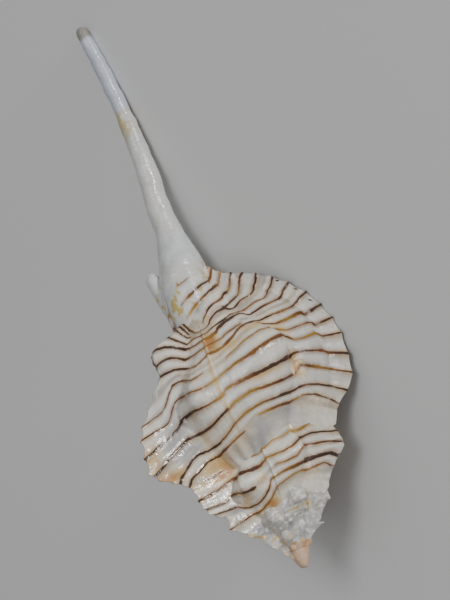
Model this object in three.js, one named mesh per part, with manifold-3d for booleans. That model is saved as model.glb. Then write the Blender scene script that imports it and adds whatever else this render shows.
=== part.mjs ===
// A murex shell, 65 mm long, lying on its two lower varices with the aperture turned down.
// It grew in one piece, as a tube that coils to the right round an axis and widens as it goes.
// Every 120 degrees the growing lip flared into a thin scalloped blade, called a varix.
// Lengths are in millimetres. The shell is worked out in a growth frame, where X runs along the
// coiling axis from the tip of the spire to the tip of the siphonal canal, and "age" is measured
// in whorls back from the last lip: 0 at the lip, -1 one turn earlier.
import * as THREE from "three";
import { mergeVertices } from "three/addons/utils/BufferGeometryUtils.js";
import Module from "manifold-3d";

const wasm = await Module();
wasm.setup();

// Growth
const varicesPerWhorl = 3;
const whorls = 5;
const cords = 17; // spiral cords between the suture and the canal, numbered from 0
const radialGrowth = 0.49; // natural log of the widening in one turn
// age, natural log of the axial size
const axialGrowth = [
  [-5, -2.7],
  [-4, -2.2],
  [-3, -1.72],
  [-2, -1.22],
  [-1.5, -0.96],
  [-1, -0.68],
  [-0.667, -0.4],
  [-0.333, -0.15],
  [0, 0],
];

// Profile of the last lip: cord number, place along the axis, radius
const bodyProfile = [
  [-1, 12.6, 3.9],
  [0, 15.6, 6.3],
  [1, 16.9, 7.3],
  [3, 19, 8.75],
  [5, 22, 9],
  [7, 25.1, 7.8],
  [9, 27.5, 6],
  [11, 29.4, 4.5],
  [14, 31.9, 3.1],
  [17, 35.6, 2.1],
];
const bladeProfile = [
  [-1, 11.9, 9.9],
  [0, 12.8, 11.1],
  [1, 13.9, 12.3],
  [3, 15.8, 14.7],
  [5, 20.3, 15.3],
  [7, 24.3, 14.3],
  [9, 28.4, 11.6],
  [11, 31.2, 8.3],
  [14, 33.5, 4.4],
  [17, 36.3, 2.2],
];
// How much of the growth each cord follows: the canal's end of the profile shifts less
const axialFollow = [
  [-1, 1],
  [5, 1],
  [7, 0.9],
  [11, 0.75],
  [17, 0.65],
];
const radialFollow = [
  [-1, 1],
  [8, 1],
  [12, 0.6],
  [17, 0.3],
];

// Blades: degrees that one takes to rise and to fall, and the depth of a scallop
const bladeRise = 10;
const bladeFall = 18;
const scallopDepth = 0.37;
// The cord where each blade fades, last lip first
const bladeFadeCord = [40, 10, 8.5, 11, 13, 10, 10];
const bladeFadeWidth = 4;
// How the rims that show differ from the profile. Each blade is numbered back from the lip, and has
// its own rows of cord, shift along the axis, shift outward.
const bladeTrims = {
  0: [[-1, 0, 0.3], [0, 0, -0.3], [1, -0.4, -0.7], [2, -0.4, -0.5], [3, 0, 0]],
  1: [[0, 0.8, 0.2], [2, 0.5, 0.95], [3, 0.6, 0.95], [4, 0.7, 0.4], [6, 0.2, -0.6], [7, -0.3, -0.9],
    [8, -0.5, -0.3], [10, -0.6, 0.3]],
  3: [[0, -0.2, -0.4], [2, 0.4, -0.4], [3, 0.6, 0], [4, 0.4, 1], [6, -0.5, 1], [11, 0, 0]],
  4: [[0, 0.2, 0], [1, 0.2, 0.5], [2, 1.3, -0.4], [4, 0.9, 0.6], [6, 0.3, 1.3], [8, -0.4, 2.2]],
  6: [[0, 0, -0.1], [3, 0.4, 0.1], [4, -0.1, 0.5], [6, 0, 0.3]],
  7: [[0, 0.3, -0.35], [1, 0.6, -0.3], [2, 0.8, -0.2], [4, 0.3, 0.2], [5, 0.2, 0.4], [7, 0, 0.2]],
  9: [[0, 0.4, -0.2], [3, 0.3, 0.3], [4, 0, 0.8], [5, 0, 0]],
  10: [[0, -0.2, -0.7], [2, 0.3, -0.5], [4, 0.3, -0.1], [6, 0, 0]],
};
const oldestTrim = 10; // older blades take this one, made smaller with the shell

// Swellings between two blades: place and length before and after it as parts of the way, height,
// cord, and how many cords it spans below and above. The shoulder of a blade is missing at the lip.
const swellings = [
  { place: 0.86, rise: 0.42, fall: 0.07, height: 1.9, cord: 5.6, below: 3.2, above: 3 },
  { place: 0.27, rise: 0.13, fall: 0.2, height: 1.5, cord: 5, below: 3.2, above: 3.4 },
  { place: 0.0, rise: 0.32, fall: 0.24, height: 4.6, cord: 12.5, below: 7.8, above: 2.9, shoulder: true },
];
const spireSwelling = 1.3;
const lipLength = -0.2;
const cordHeight = 0.12;

// Siphonal canal: place along the axis, offset to the side, radius
const shellLength = 65;
const canalSections = [
  [15, 0, 0.8],
  [19, -0.1, 1.7],
  [24, -0.3, 2.2],
  [28, -0.6, 2.6],
  [29.9, -0.6, 2.85],
  [32.5, -0.45, 3],
  [34.6, -0.35, 2.8],
  [36.6, 0, 2.4],
  [38.6, 0.1, 1.85],
  [40.6, 0.2, 1.45],
  [43.2, 0.15, 1.33],
  [47, 0.5, 1.2],
  [51, 0.6, 1],
  [54.6, 0.55, 0.9],
  [58.5, 0.35, 0.84],
  [62, 0.05, 0.76],
  [64, -0.2, 0.7],
  [64.7, -0.25, 0.55],
  [shellLength, -0.28, 0.3],
];
const canalSide = 30; // azimuth that the canal bends to, degrees
const canalLift = 1.5; // how far its tip bends to the back of the shell
// The worn end of the canal before the last: place along the axis, distance from it, radius
const oldCanalSections = [
  [28.5, 1.8, 1.1],
  [32, 2.6, 1.05],
  [34.6, 3.1, 0.9],
  [36, 3.35, 0.8],
  [36.7, 3.4, 0.45],
];
// Tip of the spire and pillar round the axis: place along the axis, radius
const pillarSections = [
  [0, 0.3],
  [0.25, 0.55],
  [1, 0.85],
  [2.2, 1.1],
  [3.2, 0.5],
  [34, 1.4],
];

// Slit of the canal: azimuth at the aperture and beyond, half width, how much wider it is at
// the aperture, and its floor and outer reach as parts of the canal's radius
const slitAzimuth = [4, 70];
const slitHalfWidth = 0.32;
const slitWidening = 1.5;
const slitTurn = 14.5; // length of the canal over which the slit turns
const slitFloor = 0.1;
const slitReach = 1.3;
const slitStations = [25.5, 27, 28.5, 30, 31.5, 33, 34.5, 36, 38, 41, 46, 52, 58, 65.5];

// Aperture: its section at the lip, and the degrees that its hollow starts in front of the lip and
// goes back behind it. The section narrows toward the canal and the hollow toward its inner end.
const aperture = {
  along: 22.2,
  radius: 5.2,
  halfAlong: 5.4,
  halfRadius: 3.2,
  front: 12,
  back: 200,
  narrowing: 0.5,
  taper: 0.35,
};

// Rest: turn about the coiling axis and dip of the canal, in degrees
const restRoll = -158.25;
const restPitch = 8.11;

const radians = THREE.MathUtils.degToRad;

// Smooth step from 0 to 1
function ease(x) {
  return THREE.MathUtils.smoothstep(x, 0, 1);
}

// Monotone cubic through rows of [x, y, ...]; column names the value
function through(rows, column, x) {
  const last = rows.length - 1;
  const slope = (i) => (rows[i + 1][column] - rows[i][column]) / (rows[i + 1][0] - rows[i][0]);
  const tangent = (i) => {
    if (i === 0) return slope(0);
    if (i === last) return slope(last - 1);
    const product = slope(i - 1) * slope(i);
    return product > 0 ? (2 * product) / (slope(i - 1) + slope(i)) : 0;
  };
  let i = 0;
  while (i < last - 1 && x > rows[i + 1][0]) i += 1;
  const width = rows[i + 1][0] - rows[i][0];
  const u = (x - rows[i][0]) / width;
  const rise = 3 * u * u - 2 * u * u * u;
  return (
    rows[i][column] * (1 - rise) +
    rows[i + 1][column] * rise +
    (u * u * u - 2 * u * u + u) * width * tangent(i) +
    (u * u * u - u * u) * width * tangent(i + 1)
  );
}

// Shift of a blade's rim along the axis and outward
function bladeTrim(number, cord) {
  const listed = Math.min(number, oldestTrim);
  const rows = bladeTrims[listed];
  if (!rows) return [0, 0];
  const at = THREE.MathUtils.clamp(cord, rows[0][0], rows.at(-1)[0]);
  const share = Math.exp((radialGrowth * (listed - number)) / varicesPerWhorl);
  return [share * through(rows, 1, at), share * through(rows, 2, at)];
}

// The outer surface in the growth frame: place along the axis and radius at an age and a cord
function surface(age, cord) {
  const axial = through(axialGrowth, 1, age);
  const radial = radialGrowth * age;
  const size = Math.exp(radial);
  let along = through(bodyProfile, 1, cord) * Math.exp(axial * through(axialFollow, 1, cord));
  let radius = through(bodyProfile, 2, cord) * Math.exp(radial * through(radialFollow, 1, cord));

  const step = age * varicesPerWhorl;
  const between = step - Math.floor(step + 1e-9);
  for (const s of swellings.filter(({ shoulder }) => !shoulder || age < lipLength)) {
    const gaps = [between - s.place, between - s.place - 1, between - s.place + 1];
    const near = gaps.reduce((a, b) => (Math.abs(b) < Math.abs(a) ? b : a));
    const round = near < 0 ? ease(1 + near / s.rise) : ease(1 - near / s.fall);
    const up = cord - s.cord;
    const across = up < 0 ? ease(1 + up / s.below) : ease(1 - up / s.above);
    radius += s.height * size * round * across * (age < -1 ? spireSwelling : 1);
  }
  const offLine = Math.abs(cord - Math.round(cord)) * 2;
  radius += cordHeight * size * (1 - offLine) * ease(cord);

  const blade = Math.round(step);
  const bladeAge = blade / varicesPerWhorl;
  const past = ((step - blade) * 360) / varicesPerWhorl;
  const weight =
    past < 0
      ? Math.max(0, 1 + past / bladeRise) ** 2.5
      : Math.max(0, 1 - past / bladeFall) ** 2.6;
  if (weight > 0) {
    const fadeCord = bladeFadeCord[Math.min(-blade, bladeFadeCord.length - 1)];
    const fade = 1 - ease((cord - fadeCord + bladeFadeWidth) / bladeFadeWidth);
    const bladeSize = Math.exp(radialGrowth * bladeAge);
    const [trimAlong, trimOut] = bladeTrim(-blade, cord);
    const rimAlong =
      through(bladeProfile, 1, cord) *
        Math.exp(through(axialGrowth, 1, bladeAge) * through(axialFollow, 1, cord)) +
      trimAlong;
    const rimRadius =
      through(bladeProfile, 2, cord) *
        Math.exp(radialGrowth * bladeAge * through(radialFollow, 1, cord)) +
      trimOut -
      scallopDepth * bladeSize * offLine ** 2 * ease(cord);
    along += weight * fade * (rimAlong - along);
    radius += weight * fade * Math.max(0, rimRadius - radius);
  }
  return [along, radius];
}

// A point of the growth frame from its place along the axis, radius and azimuth in degrees
function place(along, radius, azimuth) {
  const turn = radians(azimuth % 360);
  return [along, radius * Math.cos(turn), radius * Math.sin(turn)];
}

// A closed solid through a row of rings, from a cylinder whose sections are bent to them
function solidThrough(ringCount, pointCount, pointAt, hubAt) {
  const cylinder = new THREE.CylinderGeometry(1, 1, 1, pointCount, ringCount - 1);
  cylinder.deleteAttribute("normal");
  cylinder.deleteAttribute("uv");
  const geometry = mergeVertices(cylinder, 1e-5);
  const position = geometry.getAttribute("position");
  for (let i = 0; i < position.count; i += 1) {
    const ring = Math.round((0.5 - position.getY(i)) * (ringCount - 1));
    const reach = Math.hypot(position.getX(i), position.getZ(i));
    const turn = Math.atan2(position.getX(i), position.getZ(i)) / (2 * Math.PI);
    const point = Math.round((turn + 1) * pointCount) % pointCount;
    position.setXYZ(i, ...(reach < 0.5 ? hubAt(ring) : pointAt(ring, point)));
  }
  const vertProperties = new Float32Array(position.array);
  const triVerts = new Uint32Array(geometry.index.array);
  const solid = new wasm.Manifold(new wasm.Mesh({ numProp: 3, vertProperties, triVerts }));
  if (solid.volume() > 0) return solid;
  // The rings ran the other way, so each face is turned to look outward
  triVerts.reverse();
  return new wasm.Manifold(new wasm.Mesh({ numProp: 3, vertProperties, triVerts }));
}

// One third of a whorl, from one blade to the next, filled in almost to the axis
function growthPiece(number) {
  const young = number < varicesPerWhorl;
  const old = number >= 2 * varicesPerWhorl;
  const topCord = young ? cords : 9;
  const cordStep = old ? 1 : 0.5;
  const outline = Math.round((topCord + 1) / cordStep) + 1;
  const degrees = old
    ? [0, 8, 18, 34, 60, 90, 104, 112, 116, 120]
    : [0, 3, 7, 12, 18, 26, 38, 52, 66, 80, 92, 100, 106, 110, 113, 115.5, 117.5, 119, 120];
  const startAge = -(number + 1) / varicesPerWhorl;
  const ageAt = (ring) => {
    if (ring === degrees.length - 1) return -number / varicesPerWhorl;
    return startAge + degrees[ring] / 360;
  };
  const azimuthAt = (ring) => {
    const first = -120 * ((number + 1) % varicesPerWhorl);
    return first + degrees[ring];
  };
  const inner = 0.5;
  return solidThrough(
    degrees.length,
    outline + 2,
    (ring, point) => {
      const age = ageAt(ring);
      const cord = -1 + Math.min(point, outline - 1) * cordStep;
      const [along, radius] = surface(age, cord);
      if (point < outline) return place(along, radius, azimuthAt(ring));
      const size = Math.exp(radialGrowth * age);
      const end = point === outline ? along : surface(age, -1)[0];
      return place(end, inner * size, azimuthAt(ring));
    },
    (ring) => {
      const age = ageAt(ring);
      const [along, radius] = surface(age, 3);
      return place(along, radius * 0.3, azimuthAt(ring));
    },
  );
}

// The worn tip of the spire and the pillar round the axis, inside the coils
function pillar() {
  const sides = 12;
  return solidThrough(
    pillarSections.length,
    sides,
    (ring, point) => place(...pillarSections[ring], (360 * point) / sides),
    (ring) => place(pillarSections[ring][0], 0, 0),
  );
}

// Centre and radius of the canal at a place along the axis
function canalAt(along) {
  const side = through(canalSections, 1, along);
  const radius = through(canalSections, 2, along);
  const start = canalSections[0][0];
  const lift = canalLift * ((along - start) / (shellLength - start)) ** 2;
  const toSide = place(0, side, canalSide);
  const toBack = place(0, lift, canalSide - 90);
  return { centre: [along, toSide[1] + toBack[1], toSide[2] + toBack[2]], radius };
}

function canal() {
  const sides = 18;
  const stations = [];
  canalSections.forEach(([along], i) => {
    if (i > 0) stations.push((along + canalSections[i - 1][0]) / 2);
    stations.push(along);
  });
  return solidThrough(
    stations.length,
    sides,
    (ring, point) => {
      const { centre, radius } = canalAt(stations[ring]);
      const around = place(0, radius, (360 * point) / sides);
      return centre.map((c, axis) => c + around[axis]);
    },
    (ring) => canalAt(stations[ring]).centre,
  );
}

// The worn end of the canal that belonged to the blade before the last
function oldCanal() {
  const sides = 10;
  const azimuth = canalSide - 180;
  return solidThrough(
    oldCanalSections.length,
    sides,
    (ring, point) => {
      const [along, out, radius] = oldCanalSections[ring];
      const centre = place(along, out, azimuth);
      const around = place(0, radius, (360 * point) / sides);
      return centre.map((c, axis) => c + around[axis]);
    },
    (ring) => place(oldCanalSections[ring][0], oldCanalSections[ring][1], azimuth),
  );
}

// The hollow behind the aperture, coiling back inside the last whorl
function apertureHollow() {
  const sides = 18;
  const rings = 15;
  const section = (ring, point) => {
    const back = (ring / (rings - 1)) ** 1.2;
    const azimuth = aperture.front - back * (aperture.front + aperture.back);
    const age = Math.min(0, azimuth / 360);
    const size = Math.exp(radialGrowth * age);
    const axialSize = Math.exp(through(axialGrowth, 1, age));
    const turn = (2 * Math.PI * point) / sides;
    const narrow = 1 - aperture.narrowing * ease((1 + Math.cos(turn)) / 2);
    const taper = 1 - aperture.taper * ease(back);
    const along = aperture.along + aperture.halfAlong * taper * Math.cos(turn);
    const radius = aperture.radius + aperture.halfRadius * taper * narrow * Math.sin(turn);
    return place(along * axialSize, radius * size, azimuth);
  };
  return solidThrough(rings, sides, section, (ring) => {
    const a = section(ring, 0);
    const b = section(ring, sides / 2);
    return a.map((value, axis) => (value + b[axis]) / 2);
  });
}

// The slit of the siphonal canal, open along its lower side from the aperture to the tip
function canalSlit() {
  const corners = [
    [-1, slitFloor],
    [1, slitFloor],
    [1, slitReach],
    [-1, slitReach],
  ];
  const at = (ring, [across, out]) => {
    const along = slitStations[ring];
    const { centre, radius } = canalAt(Math.min(along, shellLength));
    const turning = Math.min(1, (along - slitStations[0]) / slitTurn);
    const azimuth = THREE.MathUtils.lerp(...slitAzimuth, turning ** 0.8);
    const width = Math.min(slitHalfWidth * THREE.MathUtils.lerp(slitWidening, 1, turning), radius * 0.42);
    const outward = place(0, radius * out + (out > 1 ? 0.8 : 0), azimuth);
    const sideways = place(0, across * width, azimuth + 90);
    return [along, centre[1] + outward[1] + sideways[1], centre[2] + outward[2] + sideways[2]];
  };
  return solidThrough(
    slitStations.length,
    corners.length,
    (ring, point) => at(ring, corners[point]),
    (ring) => at(ring, [0, 0.5]),
  );
}

const grown = [pillar(), canal(), oldCanal()];
for (let number = 0; number < whorls * varicesPerWhorl; number += 1) {
  grown.push(growthPiece(number));
}
const filled = grown.reduce((whole, piece) => whole.add(piece));
const mesh = filled.subtract(apertureHollow()).subtract(canalSlit()).getMesh();

const geometry = new THREE.BufferGeometry();
geometry.setAttribute("position", new THREE.BufferAttribute(new Float32Array(mesh.vertProperties), 3));
geometry.setIndex(new THREE.BufferAttribute(mesh.triVerts, 1));
geometry.computeVertexNormals();

const enamel = new THREE.MeshStandardMaterial({ color: 0xe9e2d3, roughness: 0.35, metalness: 0 });
const shell = new THREE.Mesh(geometry, enamel);
shell.name = "shell";

// Turned over and tipped until the lip's blade, the last whorl and the canal's tip touch the ground
const rolled = new THREE.Group();
rolled.rotation.x = radians(restRoll);
rolled.add(shell);
const lying = new THREE.Group();
lying.rotation.y = radians(restPitch);
lying.add(rolled);
const group = new THREE.Group();
group.add(lying);

const box = new THREE.Box3().setFromObject(group, true);
lying.position.set(-(box.min.x + box.max.x) / 2, -(box.min.y + box.max.y) / 2, -box.min.z);

export default group;
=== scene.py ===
import math

import bpy
import numpy as np
from mathutils import Matrix, Vector


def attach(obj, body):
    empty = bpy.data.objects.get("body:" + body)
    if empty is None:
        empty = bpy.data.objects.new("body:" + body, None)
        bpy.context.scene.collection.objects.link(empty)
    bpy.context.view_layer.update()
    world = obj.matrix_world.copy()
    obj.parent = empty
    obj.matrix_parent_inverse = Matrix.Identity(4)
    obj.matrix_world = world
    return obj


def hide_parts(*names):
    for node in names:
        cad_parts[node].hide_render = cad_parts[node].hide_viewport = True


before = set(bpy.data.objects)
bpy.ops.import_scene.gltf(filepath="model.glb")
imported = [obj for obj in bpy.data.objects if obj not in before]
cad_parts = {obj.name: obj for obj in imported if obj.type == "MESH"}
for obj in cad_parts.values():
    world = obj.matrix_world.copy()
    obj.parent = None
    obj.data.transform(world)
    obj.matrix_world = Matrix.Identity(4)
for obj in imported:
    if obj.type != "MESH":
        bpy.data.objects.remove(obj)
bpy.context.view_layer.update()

# The whorls: one tube of hard aragonite that the animal laid down at its lip, turn by turn, coiling to
# the right from the worn tip of the spire. Every third of a turn the lip flared into a thin scalloped
# blade, so the tube is made here in thirds, each from one blade to the next, and these are joined.
# X runs along the coiling axis from the tip of the spire to the tip of the canal, lengths are in
# millimetres, and age counts whorls back from the last lip, which is 0.
millimetre = 0.001
blades_per_whorl = 3
whorls = 5
third_turn = 120
cords = 17
widening = 0.49
# age, natural log of the size along the axis
lengthening = [
    (-5, -2.7), (-4, -2.2), (-3, -1.72), (-2, -1.22), (-1.5, -0.96),
    (-1, -0.68), (-0.667, -0.4), (-0.333, -0.15), (0, 0),
]
# cord, place along the axis, radius
body_profile = [
    (-1, 12.6, 3.9), (0, 15.6, 6.3), (1, 16.9, 7.3), (3, 19, 8.75), (5, 22, 9),
    (7, 25.1, 7.8), (9, 27.5, 6), (11, 29.4, 4.5), (14, 31.9, 3.1), (17, 35.6, 2.1),
]
blade_profile = [
    (-1, 11.9, 9.9), (0, 12.8, 11.1), (1, 13.9, 12.3), (3, 15.8, 14.7), (5, 20.3, 15.3),
    (7, 24.3, 14.3), (9, 28.4, 11.6), (11, 31.2, 8.3), (14, 33.5, 4.4), (17, 36.3, 2.2),
]
# cord, share of the growth that it follows
axial_follow = [(-1, 1), (5, 1), (7, 0.9), (11, 0.75), (17, 0.65)]
radial_follow = [(-1, 1), (8, 1), (12, 0.6), (17, 0.3)]
# Blades: degrees of rise and fall, half the thickness of the rim in degrees, scallops, folds
blade_rise = 10
blade_fall = 18
rim_half = 0.3
scallop_depth = 0.37
fold_turn = 0.35
blade_fade_cord = [40, 10, 8.5, 11, 13, 10, 10]
blade_fade_width = 4
# How the rims that show differ from the profile: the blade, counted back from the lip, then cord,
# shift along the axis, shift outward
blade_trims = [
    (0, [(-1, 0, 0.3), (0, 0, -0.3), (1, -0.4, -0.7), (2, -0.4, -0.5), (3, 0, 0)]),
    (1, [(0, 0.8, 0.2), (2, 0.5, 0.95), (3, 0.6, 0.95), (4, 0.7, 0.4), (6, 0.2, -0.6), (7, -0.3, -0.9),
         (8, -0.5, -0.3), (10, -0.6, 0.3)]),
    (3, [(0, -0.2, -0.4), (2, 0.4, -0.4), (3, 0.6, 0), (4, 0.4, 1), (6, -0.5, 1), (11, 0, 0)]),
    (4, [(0, 0.2, 0), (1, 0.2, 0.5), (2, 1.3, -0.4), (4, 0.9, 0.6), (6, 0.3, 1.3), (8, -0.4, 2.2)]),
    (6, [(0, 0, -0.1), (3, 0.4, 0.1), (4, -0.1, 0.5), (6, 0, 0.3)]),
    (7, [(0, 0.3, -0.35), (1, 0.6, -0.3), (2, 0.8, -0.2), (4, 0.3, 0.2), (5, 0.2, 0.4), (7, 0, 0.2)]),
    (9, [(0, 0.4, -0.2), (3, 0.3, 0.3), (4, 0, 0.8), (5, 0, 0)]),
    (10, [(0, -0.2, -0.7), (2, 0.3, -0.5), (4, 0.3, -0.1), (6, 0, 0)]),
]
# place, rise, fall, height, cord, cords below, cords above
knob_behind = (0.86, 0.42, 0.07, 1.9, 5.6, 3.2, 3)
knob_ahead = (0.27, 0.13, 0.2, 1.5, 5, 3.2, 3.4)
shoulder = (0.0, 0.32, 0.24, 4.6, 12.5, 7.8, 2.9)
spire_swelling = 1.3
lip_length = -0.2
cord_height = 0.12
cord_reach = 6
thread_height = 0.06
thread_half_width = 0.16
hub = 0.5


def ease(x):
    x = np.clip(x, 0, 1)
    return x * x * (3 - 2 * x)


def through(rows, column, x):
    """Monotone cubic through rows of (x, y, ...)."""
    rows = np.array(rows, float)
    knots, values = rows[:, 0], rows[:, column]
    slopes = np.diff(values) / np.diff(knots)
    product, total = slopes[:-1] * slopes[1:], slopes[:-1] + slopes[1:]
    tangents = np.concatenate([slopes[:1], np.zeros(len(product)), slopes[-1:]])
    same = product > 0
    tangents[1:-1][same] = 2 * product[same] / total[same]
    x = np.asarray(x, float)
    i = np.clip(np.searchsorted(knots, x) - 1, 0, len(knots) - 2)
    width = knots[i + 1] - knots[i]
    u = (x - knots[i]) / width
    rise = 3 * u**2 - 2 * u**3
    return (
        values[i] * (1 - rise)
        + values[i + 1] * rise
        + (u**3 - 2 * u**2 + u) * width * tangents[i]
        + (u**3 - u**2) * width * tangents[i + 1]
    )


def swelling(between, cord, size, row):
    place, rise, fall, height, middle, below, above = row
    near = between - place
    near = near - np.round(near)
    around = np.where(near < 0, ease(1 + near / rise), ease(1 - near / fall))
    up = cord - middle
    across = np.where(up < 0, ease(1 + up / below), ease(1 - up / above))
    return height * size * around * across


def outside(age, cord):
    """Place along the axis, radius and extra turn in degrees of the outer surface."""
    age, cord = np.broadcast_arrays(np.asarray(age, float), np.asarray(cord, float))
    follow_along = through(axial_follow, 1, cord)
    follow_out = through(radial_follow, 1, cord)
    size = np.exp(widening * age)
    along = through(body_profile, 1, cord) * np.exp(through(lengthening, 1, age) * follow_along)
    radius = through(body_profile, 2, cord) * np.exp(widening * age * follow_out)
    step = age * blades_per_whorl
    between = step - np.floor(step + 1e-9)
    boost = np.where(age < -1, spire_swelling, 1)
    for row in (knob_behind, knob_ahead):
        radius = radius + boost * swelling(between, cord, size, row)
    radius = radius + boost * swelling(between, cord, size, shoulder) * (age < lip_length)
    blade = np.round(step)
    blade_age = blade / blades_per_whorl
    past = (step - blade) * 360 / blades_per_whorl
    from_rim = np.maximum(np.abs(past) - rim_half, 0)
    off_line = np.abs(cord - np.round(cord)) * 2
    corded = np.where(age < -2, 1, np.clip(1 - from_rim / cord_reach, 0, 1))
    radius = radius + cord_height * size * corded * (1 - off_line) * ease(cord)
    rising = np.clip(1 - from_rim / blade_rise, 0, 1) ** 2.5
    falling = np.clip(1 - from_rim / blade_fall, 0, 1) ** 2.6
    weight = np.where(past < 0, rising, falling)
    number = np.minimum(-blade, len(blade_fade_cord) - 1).astype(int)
    weight = weight * (1 - ease((cord - np.take(blade_fade_cord, number)) / blade_fade_width + 1))
    rim_along = through(blade_profile, 1, cord) * np.exp(
        through(lengthening, 1, blade_age) * follow_along
    )
    blade_size = np.exp(widening * blade_age)
    rim_radius = (
        through(blade_profile, 2, cord) * np.exp(widening * blade_age * follow_out)
        - scallop_depth * blade_size * (1 - (1 - off_line) ** 2) * ease(cord)
    )
    oldest = blade_trims[-1][0]
    for listed, rows in blade_trims:
        at = np.clip(cord, rows[0][0], rows[-1][0])
        share = (np.minimum(-blade, oldest) == listed) * np.exp(
            widening * (blade_age + listed / blades_per_whorl)
        )
        rim_along = rim_along + share * through(rows, 1, at)
        rim_radius = rim_radius + share * through(rows, 2, at)
    along = along + weight * (rim_along - along)
    radius = radius + weight * np.maximum(0, rim_radius - radius)
    turn = -fold_turn * weight * np.cos(2 * np.pi * cord) * ease(cord)
    return along, radius, turn


def spot(along, radius, azimuth):
    turn = np.radians(azimuth)
    return np.stack(
        np.broadcast_arrays(along, radius * np.cos(turn), radius * np.sin(turn)), -1
    )


# What the finish reads besides the growth: the count of lines and the millimetres for one of them, the
# width and depth of colour of the nearest line, and how stained the enamel is and how grey, the grey being
# glassy enamel in most places and painted shade in the hollow past the older blade. These are the values
# where no line or patch lies.
plain_marks = [("line", (0.5, 1)), ("paint", (0, 0)), ("stain", (0, 0))]


def bent_tube(name, points, growth, marks=None):
    """A grid whose columns go round and whose rows go along, bent to points and closed.

    growth and marks are numbers for the finish, kept as UV maps."""
    rows, columns = points.shape[:2]
    bpy.ops.object.select_all(action="DESELECT")
    bpy.ops.mesh.primitive_grid_add(x_subdivisions=columns, y_subdivisions=rows - 1, size=1)
    tube = bpy.context.object
    tube.name = tube.data.name = name
    mesh = tube.data
    flat = np.zeros(len(mesh.vertices) * 3, np.float32)
    mesh.vertices.foreach_get("co", flat)
    flat = flat.reshape(-1, 3)
    column = np.round((flat[:, 0] + 0.5) * columns).astype(int)
    row = np.round((flat[:, 1] + 0.5) * (rows - 1)).astype(int)
    bent = points[row, column % columns] * millimetre
    mesh.vertices.foreach_set("co", bent.astype(np.float32).ravel())
    corner = np.zeros(len(mesh.loops), np.int32)
    mesh.loops.foreach_get("vertex_index", corner)
    maps = {"growth": growth}
    for title, plain in plain_marks:
        blank = np.broadcast_to(np.array(plain), growth.shape)
        maps[title] = marks[title] if marks else blank
    mesh.uv_layers[0].name = "growth"
    for title, values in maps.items():
        layer = mesh.uv_layers.get(title) or mesh.uv_layers.new(name=title)
        uv = values[row[corner], column[corner]]
        layer.data.foreach_set("uv", uv.astype(np.float32).ravel())
    bpy.ops.object.mode_set(mode="EDIT")
    bpy.ops.mesh.select_all(action="SELECT")
    bpy.ops.mesh.remove_doubles(threshold=1e-7)
    bpy.ops.mesh.fill_holes(sides=0)
    bpy.ops.mesh.select_all(action="SELECT")
    bpy.ops.mesh.normals_make_consistent(inside=False)
    bpy.ops.object.mode_set(mode="OBJECT")
    return tube


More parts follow.
